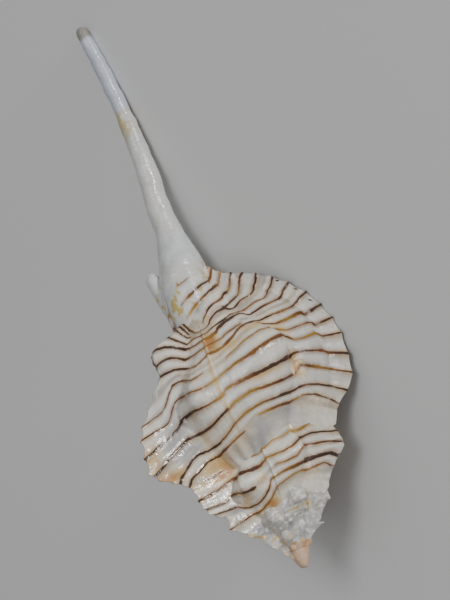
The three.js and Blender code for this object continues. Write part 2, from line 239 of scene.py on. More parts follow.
# The brown lines: fine threads of pigment that the lip laid down as it grew. Each line has its course, as
# degrees from the younger blade's rim and cord, and its paint, as degrees, width in millimetres and depth
# of colour from 0 to 1. A width of 0 is where a line fades out.
body_lines = [
    ([(0, 1), (-1, 1.35), (-1.9, 1.43), (-3, 1.5), (-5, 1.25), (-7, 0.85), (-11, 0.65), (-29, 0.75),
      (-50, 0.78), (-63, 0.23), (-70, 0.18), (-85, 0.12), (-104, 0.1), (-112, 0.45), (-118, 0.3),
      (-120, -0.2)],
     [(0, 0.12, 1), (-3, 0.1, 0.75), (-6, 0.1, 0.3), (-11, 0.2, 0.6), (-29, 0.2, 0.55), (-39, 0.12, 0.3),
      (-50, 0, 0.2), (-62, 0, 0.4), (-65, 0.1, 0.5), (-85, 0.1, 0.55), (-93, 0.18, 0.7),
      (-104, 0.2, 0.6), (-112, 0.15, 0.95), (-120, 0.15, 1)]),
    ([(0, 2), (-1, 2.1), (-1.9, 2.17), (-3, 2.2), (-5, 2.05), (-7, 1.75), (-8, 1.55), (-12, 1.48),
      (-28, 1.48), (-38, 1.58), (-57, 1.48), (-63, 1.33), (-68, 1.23), (-76, 0.95), (-84, 0.78),
      (-93, 0.7), (-102, 0.88), (-108, 1.02), (-110, 1.25), (-113, 1.6), (-115, 1.4), (-117, 1.12),
      (-120, 0.62)],
     [(0, 0.15, 1), (-3, 0.15, 0.9), (-5, 0.15, 0.5), (-7, 0.15, 0.95), (-12, 0.2, 0.8),
      (-18, 0.22, 0.9), (-28, 0.12, 0.75), (-38, 0.15, 0.4), (-63, 0.15, 0.3), (-68, 0.1, 0.5),
      (-84, 0.1, 0.55), (-90, 0.12, 0.7), (-93, 0.16, 0.95), (-120, 0.16, 1)]),
    ([(0, 3), (-1, 3.1), (-1.9, 3.25), (-3, 3.4), (-5, 3.6), (-6, 3.58), (-7, 3.15), (-9, 2.93),
      (-19, 2.8), (-28, 2.78), (-40, 2.93), (-48, 3.05), (-61, 2.95), (-72, 2.62), (-85, 2.35),
      (-93, 2.4), (-101, 2.68), (-107, 2.98), (-110, 3.23), (-115, 3.1), (-118, 2.75), (-120, 2.6)],
     [(0, 0.18, 1), (-1.5, 0.18, 0.45), (-3, 0.25, 0.35), (-5, 0.15, 0.7), (-7, 0.1, 0.4),
      (-9, 0.1, 0.5), (-14, 0.2, 0.75), (-23, 0.2, 0.7), (-40, 0.2, 0.45), (-57, 0.2, 0.3),
      (-66, 0.3, 0.25), (-72, 0.15, 0.9), (-85, 0.2, 0.7), (-101, 0.2, 0.75), (-110, 0.2, 0.95),
      (-120, 0.2, 1)]),
    ([(0, 4), (-1.9, 4.15), (-2, 4.3), (-4, 4.48), (-6, 4.45), (-8, 4.28), (-20, 4.05), (-34, 3.98),
      (-45, 4.05), (-64, 4.18), (-69, 3.9), (-78, 3.85), (-86, 3.93), (-100, 4.53), (-108, 4.73),
      (-110, 4.6), (-112, 4.33), (-117, 4.1), (-120, 3.9)],
     [(0, 0.2, 1), (-2, 0.2, 0.55), (-3, 0.15, 0.7), (-6, 0.15, 0.7), (-8, 0.25, 0.75), (-20, 0.3, 0.9),
      (-34, 0.3, 0.85), (-45, 0.25, 0.6), (-56, 0.22, 0.45), (-64, 0.2, 0.3), (-69, 0.2, 0.3),
      (-78, 0.12, 0.45), (-86, 0.18, 0.65), (-100, 0.2, 0.95), (-108, 0.25, 1), (-120, 0.2, 1)]),
    ([(0, 5), (-1.9, 5.03), (-2, 5.38), (-4, 5.25), (-5, 5.33), (-6, 5.65), (-6.5, 5.85), (-15, 5.7),
      (-26, 5.65), (-37, 5.45), (-62, 5.33), (-69, 5.15), (-80, 5.15), (-88, 5.43), (-97, 5.88),
      (-108, 6.28), (-111, 6.2), (-112, 5.8), (-114, 5.1), (-120, 5.08)],
     [(0, 0.15, 1), (-0.5, 0.15, 0.85), (-1.9, 0.15, 0.5), (-2, 0.2, 0.3), (-3.5, 0.12, 0.4),
      (-5, 0.1, 0.3), (-6, 0.25, 0.7), (-15, 0.28, 0.7), (-22, 0.3, 0.6), (-33, 0.3, 0.55),
      (-44, 0.2, 0.45), (-52, 0.2, 0.4), (-60, 0.12, 0.3), (-68, 0.1, 0.2), (-77, 0.1, 0.4),
      (-88, 0.12, 0.5), (-108, 0.15, 0.6), (-114, 0.12, 0.75), (-120, 0.18, 0.75)]),
    ([(0, 6), (-1.9, 5.85), (-2, 6.15), (-5, 6.15), (-6, 6.35), (-7, 6.68), (-17, 6.7), (-24, 6.8),
      (-37, 6.62), (-46, 6.35), (-57, 6.23), (-74, 6.18), (-82, 6.2), (-87, 6.35), (-96, 6.98),
      (-104, 7.43), (-110, 7.6), (-113, 7), (-115, 6.18), (-120, 6.03)],
     [(0, 0.13, 0.85), (-1.9, 0.13, 0.7), (-3, 0.13, 0.3), (-4, 0.1, 0.8), (-6, 0.1, 0.3),
      (-7, 0.15, 0.4), (-33, 0.15, 0.4), (-42, 0.1, 0.3), (-51, 0.12, 0.3), (-57, 0, 0.2),
      (-74, 0, 0.3), (-78, 0.1, 0.5), (-87, 0.13, 0.55), (-110, 0.15, 0.65), (-113, 0.1, 0.75),
      (-120, 0.15, 0.9)]),
    ([(0, 7), (-1.9, 6.75), (-2, 7.03), (-4, 6.93), (-6, 6.98), (-8, 7.38), (-10, 7.7), (-14, 7.85),
      (-17, 7.6), (-35, 7.35), (-42, 7), (-57, 6.7), (-82, 6.7), (-90, 7), (-98, 7.6), (-107, 8.15),
      (-114, 8), (-120, 7.6)],
     [(0, 0.18, 1), (-1.9, 0.25, 0.6), (-3, 0.3, 0.4), (-4, 0.2, 0.3), (-6, 0.1, 0.7), (-14, 0.1, 0.6),
      (-15, 0, 0.5), (-120, 0, 0.5)]),
    ([(0, 8), (-1, 7.85), (-1.9, 7.57), (-4, 7.72), (-6, 7.83), (-12, 8.1), (-23, 8.28), (-35, 8.03),
      (-42, 7.6), (-49, 7.33), (-54, 7.18), (-61, 7.3), (-67, 7.5), (-72, 7.4), (-77, 7.25),
      (-82, 7.3), (-90, 7.68), (-98, 8.18), (-107, 8.78), (-114, 9.03), (-120, 9.2)],
     [(0, 0.18, 1), (-1.9, 0.15, 0.6), (-2.5, 0.1, 0.5), (-3.5, 0.2, 0.35), (-5, 0.13, 0.9),
      (-7, 0.15, 0.9), (-12, 0.25, 0.85), (-17, 0.35, 0.8), (-30, 0.33, 0.55), (-49, 0.32, 0.55),
      (-54, 0.3, 0.35), (-61, 0.3, 0.35), (-70, 0.2, 0.45), (-77, 0.15, 0.5), (-90, 0.15, 0.6),
      (-98, 0.18, 0.9), (-120, 0.18, 0.95)]),
    ([(0, 8.5), (-1.9, 8), (-4, 8.25), (-6, 8.4), (-12, 8.7), (-21, 8.9), (-26, 8.5), (-34, 8.4),
      (-46, 8.3), (-50, 8.12), (-54, 8.15), (-60, 8.28), (-64, 8.38), (-72, 8.5), (-83, 8.7),
      (-91, 8.95), (-98, 9.15), (-102, 9.58), (-108, 10.28), (-111, 10.45), (-120, 10.5)],
     [(0, 0, 0.5), (-24, 0, 0.5), (-27, 0.15, 0.5), (-46, 0.15, 0.45), (-64, 0.12, 0.4),
      (-83, 0.12, 0.5), (-98, 0.15, 0.8), (-120, 0.15, 0.95)]),
    ([(0, 9), (-1, 8.75), (-1.9, 8.4), (-4, 8.75), (-8, 8.9), (-10, 9.3), (-14, 9.65), (-21, 9.8),
      (-36, 9.78), (-48, 9.53), (-52, 9.2), (-60, 9.12), (-67, 9.33), (-75, 9.65), (-82, 9.68),
      (-91, 10.05), (-98, 10.43), (-104, 11.23), (-110, 12), (-115, 12.33), (-120, 12.5)],
     [(0, 0.2, 0.95), (-1.9, 0.2, 0.65), (-3, 0.1, 0.5), (-5, 0.2, 0.75), (-8, 0.15, 1),
      (-14, 0.18, 0.95), (-21, 0.25, 0.95), (-30, 0.37, 0.88), (-43, 0.37, 0.85), (-48, 0.22, 0.7),
      (-55, 0.3, 0.4), (-67, 0.3, 0.35), (-82, 0.15, 0.5), (-91, 0.15, 0.55), (-98, 0.2, 0.95),
      (-120, 0.2, 1)]),
    ([(0, 10), (-1, 9.6), (-2, 9.33), (-3, 9.15), (-4, 9.5), (-7, 9.7), (-11, 9.88), (-25, 10.18),
      (-42, 10.05), (-62, 9.93), (-67, 10.03), (-81, 10.58), (-91, 10.88), (-96, 10.9), (-101, 11.6),
      (-106, 12.78), (-110, 13.4), (-114, 13.68), (-120, 13.8)],
     [(0, 0.13, 1), (-3, 0.1, 0.5), (-18, 0.1, 0.6), (-25, 0.12, 0.95), (-54, 0.12, 0.9),
      (-62, 0.1, 0.45), (-85, 0.1, 0.5), (-91, 0.12, 0.6), (-98, 0.12, 0.95), (-120, 0.15, 1)]),
    ([(0, 10.4), (-2, 9.9), (-4, 10), (-13, 10.3), (-22, 10.75), (-36, 10.85), (-44, 10.75),
      (-52, 10.5), (-62, 10.3), (-71, 10.5), (-81, 11.1), (-91, 11.58), (-95, 11.75), (-98, 12.3),
      (-104, 13.62), (-112, 14.18), (-120, 14.3)],
     [(0, 0, 0.8), (-88, 0, 0.8), (-91, 0.12, 0.9), (-120, 0.15, 0.95)]),
    ([(0, 10.6), (-2, 10.05), (-4, 10.2), (-13, 10.5), (-22, 11.05), (-36, 11.15), (-44, 11.08),
      (-52, 10.8), (-62, 10.5), (-71, 10.65), (-81, 11.3), (-88, 11.9), (-94, 12.18), (-98, 13.12),
      (-103, 13.93), (-111, 14.5), (-120, 14.6)],
     [(0, 0, 0.8), (-91, 0, 0.8), (-94, 0.12, 0.9), (-120, 0.15, 0.95)]),
    ([(0, 11), (-1, 10.55), (-2, 10.3), (-3, 10.12), (-5, 10.6), (-13, 10.7), (-19, 10.98),
      (-22, 11.35), (-36, 11.53), (-44, 11.4), (-52, 11.05), (-55, 10.68), (-62, 10.65), (-71, 10.78),
      (-79, 11), (-81, 11.55), (-90, 12.53), (-97, 13.58), (-102, 14.4), (-120, 14.9)],
     [(0, 0.25, 1), (-4, 0.15, 0.7), (-5, 0.15, 0.6), (-7, 0.2, 0.9), (-13, 0.2, 0.9), (-19, 0.25, 1),
      (-22, 0.37, 0.88), (-44, 0.37, 0.85), (-52, 0.25, 0.7), (-62, 0.12, 0.55), (-79, 0.1, 0.4),
      (-81, 0.12, 0.5), (-90, 0.25, 0.6), (-102, 0.2, 0.95), (-120, 0.15, 0.9)]),
    ([(0, 12), (-1, 12.05), (-2, 11.6), (-4, 11.15), (-7, 11.55), (-20, 11.5), (-24, 11.9),
      (-36, 12.2), (-52, 11.7), (-62, 11.1), (-71, 11.6), (-81, 12.5), (-90, 13.4), (-97, 14),
      (-102, 14.8), (-120, 15.2)],
     [(0, 0.25, 1), (-2, 0.2, 0.5), (-4, 0.12, 0.3), (-5, 0.15, 0.75), (-7, 0.15, 0.8),
      (-15, 0.18, 0.85), (-20, 0.15, 0.8), (-23, 0, 0.8), (-120, 0, 0.5)]),
    ([(0, 13), (-1, 12.85), (-2, 12.58), (-4, 12.35), (-6, 12.8), (-19, 12.85), (-30, 12.95),
      (-40, 12.88), (-48, 12.7), (-52, 12.43), (-58, 12.1), (-62, 11.58), (-74, 12.6), (-86, 13.73),
      (-94, 14.23), (-113, 15.23), (-120, 15.5)],
     [(0, 0.3, 1), (-1, 0.2, 0.8), (-2, 0.15, 0.45), (-4, 0.1, 0.3), (-5, 0.2, 0.9), (-6, 0.15, 0.7),
      (-19, 0.18, 0.5), (-30, 0.18, 0.55), (-40, 0.2, 0.9), (-48, 0.2, 0.85), (-52, 0.12, 0.5),
      (-62, 0.12, 0.5), (-64, 0, 0.5), (-84, 0, 0.5), (-87, 0.12, 0.7), (-120, 0.15, 0.9)]),
    ([(0, 14), (-4, 13.93), (-5, 14.2), (-8, 14.48), (-25, 14.53), (-48, 14.45), (-64, 14.2),
      (-86, 15.05), (-98, 15.45), (-116, 16.03), (-120, 16.1)],
     [(0, 0.2, 0.3), (-5, 0.18, 0.5), (-8, 0.2, 0.9), (-25, 0.15, 0.88), (-48, 0.15, 0.35),
      (-57, 0.12, 0.25), (-66, 0, 0.3), (-84, 0, 0.5), (-88, 0.12, 0.7), (-120, 0.12, 0.85)]),
    ([(0, 15), (-4, 15.05), (-8, 15.32), (-24, 15.53), (-66, 15.53), (-86, 16.2), (-120, 16.8)],
     [(0, 0.2, 0.45), (-24, 0.2, 0.9), (-35, 0.2, 0.8), (-59, 0.15, 0.3), (-66, 0, 0.3),
      (-120, 0, 0.3)]),
    ([(0, 16.2), (-12, 16.65), (-44, 16.88), (-57, 17), (-120, 17.4)],
     [(0, 0.2, 0.2), (-12, 0.22, 0.35), (-25, 0.22, 0.4), (-35, 0.2, 0.5), (-44, 0.35, 0.6),
      (-57, 0.3, 0.45), (-62, 0.1, 0.2), (-66, 0, 0.2), (-120, 0, 0.2)]),
]
spire_lines = [
    ([(0, 2.03), (-2, 2.8), (-4, 2.5), (-7, 2.23), (-18, 2.55), (-53, 1.93), (-58, 1.35), (-66, 0.62),
      (-77, 0.25), (-91, 0.12), (-106, 0.45), (-112, 0.75), (-120, 1)],
     [(0, 0.12, 0.9), (-2, 0.12, 0.5), (-10, 0.15, 0.4), (-18, 0.1, 0.35), (-53, 0.1, 0.4),
      (-77, 0.12, 0.45), (-106, 0.12, 0.5), (-120, 0.12, 0.8)]),
    ([(0, 3), (-1, 3.4), (-2, 3.7), (-7, 3.73), (-17, 3.55), (-23, 3.42), (-40, 3.6), (-58, 3.48),
      (-61, 2.75), (-65, 2.1), (-73, 1.53), (-82, 1.25), (-93, 1.33), (-105, 1.8), (-110, 2.43),
      (-112, 3.3), (-120, 3.6)],
     [(0, 0.2, 1), (-2, 0.25, 0.9), (-6, 0.3, 0.75), (-23, 0.3, 0.6), (-40, 0.15, 0.4),
      (-58, 0.1, 0.4), (-65, 0.12, 0.65), (-93, 0.12, 0.65), (-105, 0.12, 0.6), (-120, 0.15, 0.9)]),
    ([(0, 4.4), (-2, 5.3), (-4, 5.45), (-6, 5.6), (-18, 5.23), (-24, 4.55), (-37, 4.58), (-46, 4.93),
      (-80, 3.62), (-85, 3.7), (-99, 4.48), (-107, 5.1), (-111, 5.38), (-115, 4.58), (-120, 4.6)],
     [(0, 0.15, 0.95), (-3, 0.15, 0.6), (-10, 0.1, 0.5), (-46, 0.1, 0.45), (-49, 0, 0.5),
      (-77, 0, 0.8), (-80, 0.22, 0.85), (-96, 0.2, 0.8), (-102, 0.12, 0.4), (-120, 0.12, 0.8)]),
    ([(0, 6), (-3, 6.43), (-6, 6.33), (-20, 5.95), (-27, 5.73), (-34, 5.73), (-44, 5.9), (-51, 6.08),
      (-58, 5.93), (-64, 5.85), (-77, 5.98), (-91, 6.2), (-108, 6.62), (-113, 6.4), (-120, 6)],
     [(0, 0.2, 1), (-4, 0.15, 0.85), (-20, 0.15, 0.65), (-34, 0.12, 0.5), (-51, 0.12, 0.35),
      (-60, 0.2, 0.55), (-70, 0.35, 0.75), (-91, 0.35, 0.75), (-100, 0.25, 0.5), (-113, 0.2, 0.5),
      (-120, 0.2, 0.9)]),
    ([(0, 7.2), (-1, 7.33), (-5, 7), (-15, 7.22), (-26, 7), (-38, 7.2), (-60, 7.1), (-72, 7.47),
      (-85, 7.85), (-109, 8.2), (-115, 7.8), (-120, 7.8)],
     [(0, 0.12, 0.4), (-15, 0.1, 0.3), (-38, 0.12, 0.25), (-60, 0.4, 0.35), (-85, 0.45, 0.45),
      (-109, 0.4, 0.4), (-120, 0.15, 0.7)]),
    ([(0, 8.1), (-6, 7.9), (-13, 8.55), (-40, 8.6), (-120, 9.2)],
     [(0, 0.12, 0.35), (-13, 0.15, 0.25), (-40, 0, 0.2), (-120, 0, 0.2)]),
]
least_gap = 0.06
line_strength = 1.35
# The share of their width that the lines keep on each third of a whorl, counted back from the lip
line_share = [1, 1, 1, 1, 0.8, 0.45, 0]


def lines_at(lines, degrees, cord):
    """Line count, width and depth of colour at each row of degrees and column of cord."""
    cord = np.broadcast_to(cord, (len(degrees), np.shape(cord)[-1]))
    count = np.arange(len(lines) + 2.0)
    courses = [np.full(len(degrees), -2.5)]
    for course, paint in lines:
        ordered = np.array(sorted(course))
        place = np.interp(degrees, ordered[:, 0], ordered[:, 1])
        courses.append(np.maximum(place, courses[-1] + least_gap))
    courses.append(np.maximum(18.5, courses[-1] + 1))
    courses = np.stack(courses, 1)
    looks = [np.zeros((len(degrees), 2))]
    for course, paint in lines:
        ordered = np.array(sorted(paint))
        looks.append(np.stack([np.interp(degrees, ordered[:, 0], ordered[:, k]) for k in (1, 2)], 1))
    looks.append(looks[0])
    looks = np.stack(looks, 1)
    counted = np.stack([np.interp(here, row, count) for here, row in zip(cord, courses)])
    below = np.minimum(counted.astype(int), len(lines))
    share = ease(counted - below)
    rows = np.arange(len(degrees))[:, None]
    paint = looks[rows, below] * (1 - share)[..., None] + looks[rows, below + 1] * share[..., None]
    return counted, paint



# Where the enamel is stained orange or yellow, where it is thin and glassy, and where painted shade greys
# the
# hollow past the older blade: third of a whorl, degrees from the younger rim, cord, half width in degrees,
# half width in cords, strength
orange_stains = [
    (0, -62, 8.6, 9, 1.3, 1), (0, -20, 7.7, 14, 0.5, 0.6), (0, -46, 7, 12, 0.5, 0.5),
    (0, -7, 3.6, 2, 1, 0.8), (0, -34, 3.7, 16, 0.4, 0.5), (0, -6, 6.4, 1.5, 0.8, 0.5),
    (0, -69, 4.9, 2, 6, 0.45), (0, -100, 1.8, 8, 0.7, 0.35), (0, -97, 3.8, 6, 0.5, 0.35),
    (0, -119, 1.6, 3, 0.8, 0.8), (0, -119, 3.6, 2, 1, 0.6), (0, -109, -0.3, 8, 0.8, 0.7),
    (3, -112, 7.7, 9, 0.8, 1), (3, -67, 4.4, 8, 0.8, 0.4), (3, -70, -0.2, 16, 0.8, 0.8),
    (3, -100, 3.2, 14, 1, 0.5), (3, -10, 7.2, 10, 0.8, 0.5), (0, -25, 16.8, 30, 0.8, 0.35),
    (0, -52, 17.2, 8, 0.8, 0.8), (0, -90, 10.8, 8, 0.6, 0.3),
]
# The grey patches at -113 and -110 degrees on thirds 0 and 3 are painted shade in the hollow just past the
# older blade; the others are glassy enamel
glassy_and_shaded_patches = [
    (0, -113, 3.5, 5, 2.3, 1), (0, -110, 2.1, 5, 1, 0.8), (0, -50, -0.3, 20, 0.9, 0.9),
    (0, -12, 0.2, 8, 1, 0.6), (0, -32, 11.1, 18, 0.35, 0.9), (3, -113, 2.5, 6, 1.6, 0.8),
    (3, -12, 8.6, 30, 1.2, 0.8), (0, -60, 14, 40, 2.5, 0.4), (0, -75, 6.5, 7, 2, 0.35),
]

# The patches come again after so many thirds
stains_repeat = 6


def stains_and_shade(number, degrees, cord):
    amounts = []
    for patches in (orange_stains, glassy_and_shaded_patches):
        amount = np.zeros((len(degrees), len(cord)))
        for third, middle, height, half_turn, half_cord, strength in patches:
            if third % stains_repeat != number % stains_repeat:
                continue
            round_it = (degrees[:, None] - middle) / half_turn
            up_it = (cord[None, :] - height) / half_cord
            amount = np.maximum(amount, strength * np.exp(-(round_it**2) - up_it**2))
        amounts.append(amount)
    return np.stack(amounts, -1)


# Low forms on the whorls: third of a whorl, degrees from the younger rim, cord, half width in degrees, half
# width in cords, height. They are growth pauses, wrinkles of the last thin layers, beads and knobs.
low_forms = [
    (0, -1.85, 6, 0.22, 5.5, 0.2), (0, -68, 6, 0.9, 5.5, 0.16), (0, -64.5, 5, 0.7, 4.5, 0.09),
    (0, -71, 3.4, 1, 2.5, 0.12), (0, -117.2, 3.4, 0.35, 2.6, 0.2), (0, -8, 5, 3, 1.1, 0.45),
    (0, -46, -0.4, 8, 0.5, 0.3), (0, -60, -0.4, 5, 0.5, 0.35), (0, -76, -0.4, 5, 0.5, 0.3),
    (0, -92, -0.4, 5, 0.5, 0.3), (3, -53, 4, 0.8, 4.5, 0.22), (3, -57, 2, 0.8, 2.2, 0.14),
    (3, -8, 5.2, 4, 1, 0.3), (3, -90, 5, 6, 1.6, 0.3), (3, -100, 0, 6, 0.6, 0.25),
    (3, -30, 8.4, 5, 0.5, 0.2), (3, -45, 8.4, 5, 0.5, 0.2), (6, -29, 6.3, 11, 1.6, 0.6),
    (6, -14, 3, 4, 0.7, 0.25), (6, -50, 1, 5, 0.7, 0.2),
]
# Unevenness of the skin: length of the waves and their height, and the height on the older thirds
broad_wave = (2.2, 0.05)
fine_wave = (0.9, 0.025)
fine_wave_on_spire = 0.045
relief_fade = 0.8
thirds_with_relief = 7


def risings(number, degrees, cord):
    height = np.zeros((len(degrees), len(cord)))
    for third, middle, level, half_turn, half_cord, rise in low_forms:
        if third == number:
            round_it = (degrees[:, None] - middle) / half_turn
            up_it = (cord[None, :] - level) / half_cord
            height = height + rise * np.exp(-(round_it**2) - up_it**4)
    return height


def ripple(points, wave):
    """Unevenness that is the same each time, mostly from -1 to 1, in waves of about that length."""
    total = 0
    for k in range(9):
        swing, tilt = k * 2.4, k * 1.3 + 1
        heading = np.array([math.sin(swing), math.cos(swing) * math.sin(tilt), math.cos(tilt)])
        total = total + np.sin(points @ heading * (math.tau / wave) * (0.75 + 0.07 * k) + k * k)
    return total / 4


def facing(skin):
    """Outward normals of a grid of points."""
    normal = np.cross(np.gradient(skin, axis=0), np.gradient(skin, axis=1))
    normal = normal / np.maximum(np.linalg.norm(normal, axis=-1, keepdims=True), 1e-9)
    outward = skin * (0, 1, 1)
    return normal * np.sign((normal * outward).sum())


spire_top = 9
full_thread_width = 0.1


def millimetres_per_line(counted, points, steepest=None):
    """How far it is on the surface from one line to the next."""
    slopes = []
    for axis in (0, 1):
        step = np.maximum(np.linalg.norm(np.gradient(points, axis=axis), axis=-1), 1e-4)
        slope = np.gradient(counted, axis=axis)
        if steepest:
            slope = np.minimum(np.abs(slope), steepest)
        slopes.append(slope / step)
    return 1 / np.maximum(np.hypot(*slopes), 0.02)


def third_of_whorl(number):
    young = number < blades_per_whorl
    top = cords if young else spire_top
    per_cord = 10 if number < 6 else 6 if number < 9 else 5
    body_step = 2.0 if young else 2.6 if number < 6 else 4
    after_rim = [0, rim_half, 0.7, 1.2, 1.8, 2.6, 3.6, 4.8, 6.2, 8, 10, 12.5, 15]
    before_rim = [
        104, 105.5, 107, 108.5, 110, 111.2, 112.4, 113.4, 114.2, 115, 115.7, 116.3, 116.9,
        117.4, 117.8, 118.2, 118.6, 118.9, 119.2, 119.45, third_turn - rim_half, third_turn,
    ]
    degrees = np.concatenate([after_rim, np.arange(18, 103, body_step), before_rim])
    age = (degrees / third_turn - number - 1) / blades_per_whorl
    azimuth = degrees - third_turn * ((number + 1) % blades_per_whorl)
    cord = np.linspace(-1, top, (top + 1) * per_cord + 1)
    along, radius, turn = outside(age[:, None], cord[None, :])
    skin = spot(along, radius, azimuth[:, None] + turn)

    from_younger = degrees - third_turn
    counted, paint = lines_at(body_lines if young else spire_lines, from_younger, cord)
    paint[..., 0] *= line_share[min(number, len(line_share) - 1)] * line_strength
    length = millimetres_per_line(counted, skin)
    if number < thirds_with_relief:
        from_line = (counted - np.round(counted)) * length
        thread = thread_height * np.exp(-((from_line / thread_half_width) ** 2))
        relief = thread * np.minimum(1, paint[..., 0] / full_thread_width)
        fine_height = fine_wave_on_spire if number > 5 else fine_wave[1]
        relief = relief + ripple(skin, broad_wave[0]) * broad_wave[1]
        relief = relief + ripple(skin, fine_wave[0]) * fine_height
        relief = relief + risings(number, from_younger, cord)
        relief = relief * ease(np.minimum(degrees, third_turn - degrees) / relief_fade)[:, None]
        skin = skin + relief[..., None] * facing(skin)

    inner = hub * np.exp(widening * age)
    far = spot(along[:, -1], inner, azimuth)
    near = spot(along[:, 0], inner, azimuth)
    points = np.concatenate([skin, far[:, None], near[:, None]], 1)
    ages = np.repeat(age[:, None], points.shape[1] + 1, 1)
    places = np.concatenate([cord, [top, -1, -1]])
    growth = np.stack(np.broadcast_arrays(ages, places[None, :]), -1)

    def edged(values):
        return np.concatenate([values, values[:, -1:], values[:, :1], values[:, :1]], 1)

    marks = {
        "line": edged(np.stack([counted, length], -1)),
        "paint": edged(paint),
        "stain": edged(stains_and_shade(number, from_younger, cord)),
    }
    return bent_tube(f"third_{number}", points, growth, marks)


def combine(whole, piece, operation):
    step = whole.modifiers.new("combine", "BOOLEAN")
    step.operation = operation
    step.solver = "MANIFOLD"
    step.object = piece
    bpy.ops.object.select_all(action="DESELECT")
    bpy.context.view_layer.objects.active = whole
    bpy.ops.object.modifier_apply(modifier=step.name)
    bpy.data.objects.remove(piece)


shell = third_of_whorl(0)
for number in range(1, whorls * blades_per_whorl):
    combine(shell, third_of_whorl(number), "UNION")

# The spire ends in a blunt worn tip, on the pillar that the coils wind round.
tip_profile = [(0, 0.3), (0.25, 0.55), (1, 0.85), (2.2, 1.1), (3.2, 0.5), (34, 1.4)]


def rings(sides, centre, radius):
    turn = np.arange(sides) * 360 / sides
    ring = spot(0, np.asarray(radius)[:, None], turn[None, :])
    return np.asarray(centre)[:, None, :] + ring


def growth_like(points, kind):
    """Marks that stand in for the growth on a tube, so that the finish can tell it from the whorls."""
    rows, columns = points.shape[:2]
    u = kind + np.linspace(0, 0.9, rows)[:, None]
    v = np.linspace(0, 1, columns + 1)[None, :]
    return np.stack(np.broadcast_arrays(u, v), -1)


tip_kind, canal_kind, old_canal_kind, slit_kind, hollow_kind = -8, 2, 4, 6, 8


stations = np.array([0, 0.08, 0.16, 0.25, 0.5, 0.8, 1.2, 1.7, 2.2, 2.7, 3.2, 10, 20, 34])
tip_radius = through(tip_profile, 1, stations)
tip_centre = np.stack([stations, 0 * stations, 0 * stations], -1)
points = rings(24, tip_centre, tip_radius)
combine(shell, bent_tube("tip", points, growth_like(points, tip_kind)), "UNION")

# The siphonal canal: a long thin tube of the same clear white shell, drawn out from the body whorl and
# open along its underside as a slit. Beside it stands the worn end of the canal before it.
shell_length = 65
canal_sections = [
    (15, 0, 0.8), (19, -0.1, 1.7), (24, -0.3, 2.2), (28, -0.6, 2.6), (29.9, -0.6, 2.85),
    (32.5, -0.45, 3), (34.6, -0.35, 2.8), (36.6, 0, 2.4), (38.6, 0.1, 1.85), (40.6, 0.2, 1.45),
    (43.2, 0.15, 1.33), (47, 0.5, 1.2), (51, 0.6, 1.03), (53.6, 0.58, 0.98), (53.9, 0.57, 0.88),
    (58.5, 0.35, 0.84), (62, 0.05, 0.76), (64, -0.2, 0.7), (64.7, -0.25, 0.55),
    (shell_length, -0.28, 0.3),
]
canal_side = 30
canal_lift = 1.5


def canal_at(along):
    along = np.asarray(along, float)
    start = canal_sections[0][0]
    lift = canal_lift * ((along - start) / (shell_length - start)) ** 2
    side = through(canal_sections, 1, along)
    centre = spot(0, side, canal_side) + spot(0, lift, canal_side - 90)
    centre[:, 0] = along
    return centre, through(canal_sections, 2, along)


# The last whorl's lines run up on to the canal's foot: the azimuth where the lip stands, the place along
# the axis where they end and over what length they fade, and how far they drift round
foot_lip = 20
foot_end = 34.5
foot_fade = 2.5
foot_drift = 0.72


def lines_on(points):
    rows, columns = points.shape[:2]
    round_it = np.degrees(np.arctan2(points[..., 2], points[..., 1])).ravel()
    round_it = np.where(round_it > foot_lip, round_it - 360, round_it)
    all_cords = np.linspace(0, cords, 5 * cords + 1)
    courses = outside(round_it[:, None] / 360, all_cords[None, :])[0]
    along = points[..., 0].ravel()
    cord = np.array([np.interp(s, course, all_cords) for s, course in zip(along, courses)])
    local = foot_drift * (round_it - third_turn * np.ceil(round_it / third_turn))
    counted, paint = lines_at(body_lines, local, cord[:, None])
    paint[..., 0] *= (line_strength * ease((foot_end - along) / foot_fade))[:, None]
    counted = counted.reshape(rows, columns)
    paint = paint.reshape(rows, columns, 2)
    length = millimetres_per_line(counted, points, steepest=0.8)

    def closed(values):
        return np.concatenate([values, values[:, :1]], 1)

    stain = np.zeros((rows, columns + 1, 2))
    return {"line": closed(np.stack([counted, length], -1)), "paint": closed(paint), "stain": stain}


stations = np.concatenate([
    np.linspace(15, 27, 20), np.linspace(27.3, 36, 48), np.linspace(36.5, 64, 60),
    [64.2, 64.4, 64.6, 64.75, 64.88, 65],
])
centre, radius = canal_at(stations)
points = rings(72, centre, radius)
relief = ripple(points, 1.9) * 0.045 + ripple(points, 0.7) * 0.02
points = points + facing(points) * relief[..., None]
canal = bent_tube("canal", points, growth_like(points, canal_kind), lines_on(points))
combine(shell, canal, "UNION")

old_canal = [(28.5, 1.8, 1.1), (32, 2.6, 1.05), (34.6, 3.1, 0.9), (36, 3.35, 0.8), (36.7, 3.4, 0.45)]
stations = np.concatenate([np.linspace(28.5, 36, 16), [36.2, 36.4, 36.58, 36.7]])
centre = spot(0, through(old_canal, 1, stations), canal_side - 180)
centre[:, 0] = stations
points = rings(20, centre, through(old_canal, 2, stations))
combine(shell, bent_tube("old_canal", points, growth_like(points, old_canal_kind)), "UNION")

